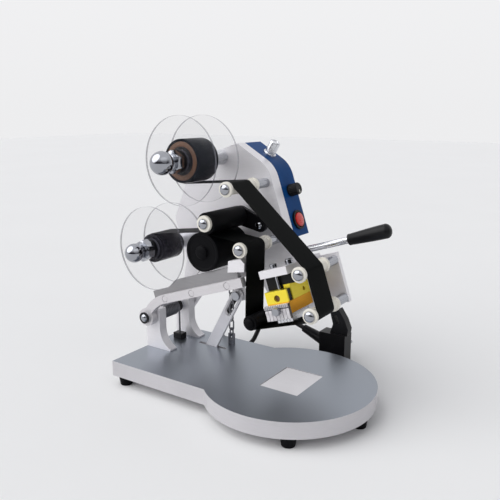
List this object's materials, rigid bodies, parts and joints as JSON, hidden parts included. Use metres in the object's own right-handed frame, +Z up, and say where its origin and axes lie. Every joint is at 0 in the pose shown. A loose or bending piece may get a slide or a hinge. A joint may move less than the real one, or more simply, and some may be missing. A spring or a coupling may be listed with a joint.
{
  "type": "ribbon coding machine",
  "caption": "Desk ribbon coding machine: a lever head with clear reels, guide rollers and a heated brass type block swings down onto a round-nosed base.",
  "frame": {"origin": "on the table under the middle of the machine's box, the mains cord and plug left out", "axes": "+X from the rear pivot towards the round front, +Y away from the reels towards the blue cover, +Z up"},
  "size_m": [0.3247, 0.264, 0.3131],
  "materials": {
    "base_casting": "brushed, clear lacquer",
    "light_alloy": "polished",
    "steel": "bright turned",
    "chrome": "mirror chrome",
    "dark_steel": "oiled dark steel",
    "rubber": "matt black",
    "blue_paint": "satin blue powder coat",
    "black_plastic": "matt black moulding",
    "red_plastic": "gloss red",
    "clear_plastic": "clear acrylic sheet",
    "cream_plastic": "cream moulding",
    "brown_card": "brown tube",
    "ribbon": "satin black film",
    "brass": "machined brass"
  },
  "bodies": {
    "base": {"base_plate": "base_casting", "anvil_plate": "light_alloy", "feet": "rubber", "foot_screws": "steel", "uprights": "light_alloy", "pivot_shaft": "steel", "pivot_collars": "chrome", "return_spring": "dark_steel", "spring_bushing": "black_plastic", "spring_anchor": "black_plastic", "link_base_pin": "steel", "chain_anchor": "dark_steel", "chain": "dark_steel", "cord": "rubber", "cord_hank": "rubber", "plug_body": "black_plastic", "plug_pins": "chrome"},
    "head": {"main_plate": "light_alloy", "near_arm": "light_alloy", "cross_web": "light_alloy", "frame_screws": "steel", "link_tab": "light_alloy", "link_slot_pin": "chrome", "cover": "blue_paint", "cover_screws": "steel", "fuse_holder": "chrome", "switch_bezel": "black_plastic", "gland": "black_plastic", "handle_rod": "steel", "handle_grip": "black_plastic", "reel_spindles": "steel", "dome_nuts": "chrome", "roller_axles": "steel", "head_bracket": "light_alloy", "guide_rods": "chrome", "insulator": "black_plastic", "heater_block": "brass", "heater_cartridge": "dark_steel", "type_holder": "brass", "type_set": "steel", "clamp_plate": "steel", "ribbon_web": "ribbon"},
    "link": {"link_bar": "steel"},
    "clamp_screw": {"clamp_screw": "chrome"},
    "temperature_knob": {"temperature_knob": "black_plastic"},
    "rocker": {"rocker": "red_plastic"},
    "supply_reel": {"supply_discs": "clear_plastic", "supply_hub": "black_plastic", "supply_core": "brown_card", "supply_roll": "ribbon"},
    "takeup_reel": {"takeup_discs": "clear_plastic", "takeup_hub": "black_plastic", "takeup_roll": "ribbon"},
    "roller_top": {"roller_top": "cream_plastic"},
    "roller_rear": {"roller_rear": "cream_plastic"},
    "roller_front": {"roller_front": "cream_plastic"},
    "roller_nose": {"roller_nose": "cream_plastic"},
    "roller_tail": {"roller_tail": "rubber"},
    "pinch_roller": {"pinch_roller": "rubber"},
    "feed_drum": {"feed_drum": "rubber"}
  },
  "joints": [
    {"name": "head_swing", "type": "hinge", "parent": "base", "child": "head", "pos_m": [-0.12462, 0.0165, 0.071], "axis": [0, 1, 0], "range_deg": [0, 18.6], "stiffness_Nm_per_rad": 8, "springref_deg": -57.3, "deforming": ["return_spring", "chain", "cord"]},
    {"name": "link_swing", "type": "hinge", "parent": "base", "child": "link", "pos_m": [-0.07066, 0.0285, 0.021], "axis": [0, 1, 0], "range_deg": [0, 18]},
    {"name": "feed_drum_spin", "type": "hinge", "parent": "head", "child": "feed_drum", "pos_m": [-0.03887, -0.0065, 0.16264], "axis": [0, 1, 0], "continuous": true},
    {"name": "supply_spin", "type": "hinge", "parent": "head", "child": "supply_reel", "pos_m": [-0.06477, -0.0065, 0.26312], "axis": [0, 1, 0], "continuous": true},
    {"name": "takeup_spin", "type": "hinge", "parent": "head", "child": "takeup_reel", "pos_m": [-0.11238, -0.0065, 0.15847], "axis": [0, 1, 0], "continuous": true},
    {"name": "roller_top_spin", "type": "hinge", "parent": "head", "child": "roller_top", "pos_m": [-0.00192, -0.0065, 0.23627], "axis": [0, 1, 0], "continuous": true},
    {"name": "roller_rear_spin", "type": "hinge", "parent": "head", "child": "roller_rear", "pos_m": [0.01534, -0.0065, 0.17244], "axis": [0, 1, 0], "continuous": true},
    {"name": "roller_front_spin", "type": "hinge", "parent": "head", "child": "roller_front", "pos_m": [0.08827, -0.0065, 0.15636], "axis": [0, 1, 0], "continuous": true},
    {"name": "roller_nose_spin", "type": "hinge", "parent": "head", "child": "roller_nose", "pos_m": [0.10215, -0.0065, 0.11514], "axis": [0, 1, 0], "continuous": true},
    {"name": "roller_tail_spin", "type": "hinge", "parent": "head", "child": "roller_tail", "pos_m": [0.02916, -0.0065, 0.09374], "axis": [0, 1, 0], "continuous": true},
    {"name": "pinch_spin", "type": "hinge", "parent": "head", "child": "pinch_roller", "pos_m": [-0.02971, -0.0065, 0.19704], "axis": [0, 1, 0], "continuous": true},
    {"name": "knob_turn", "type": "hinge", "parent": "head", "child": "temperature_knob", "pos_m": [0.01155, 0.0845, 0.22445], "axis": [0.9478, 0, 0.319], "range_deg": [0, 270]},
    {"name": "rocker_tilt", "type": "hinge", "parent": "head", "child": "rocker", "pos_m": [0.02019, 0.0845, 0.18937], "axis": [0, 1, 0], "range_deg": [-8, 8]},
    {"name": "clamp_turn", "type": "hinge", "parent": "head", "child": "clamp_screw", "pos_m": [0.06469, -0.0325, 0.11435], "axis": [0, 1, 0], "range_deg": [0, 360]}
  ],
  "couplings": [
    {"joint": "link_swing", "follows": "head_swing", "ratio": 0.90811},
    {"joint": "supply_spin", "follows": "feed_drum_spin", "ratio": 0.92},
    {"joint": "takeup_spin", "follows": "feed_drum_spin", "ratio": 1.3143},
    {"joint": "roller_top_spin", "follows": "feed_drum_spin", "ratio": -3.2394},
    {"joint": "roller_rear_spin", "follows": "feed_drum_spin", "ratio": 3.2394},
    {"joint": "roller_front_spin", "follows": "feed_drum_spin", "ratio": -3.2394},
    {"joint": "roller_nose_spin", "follows": "feed_drum_spin", "ratio": -3.2394},
    {"joint": "roller_tail_spin", "follows": "feed_drum_spin", "ratio": -2.7059},
    {"joint": "pinch_spin", "follows": "feed_drum_spin", "ratio": -1.84}
  ]
}
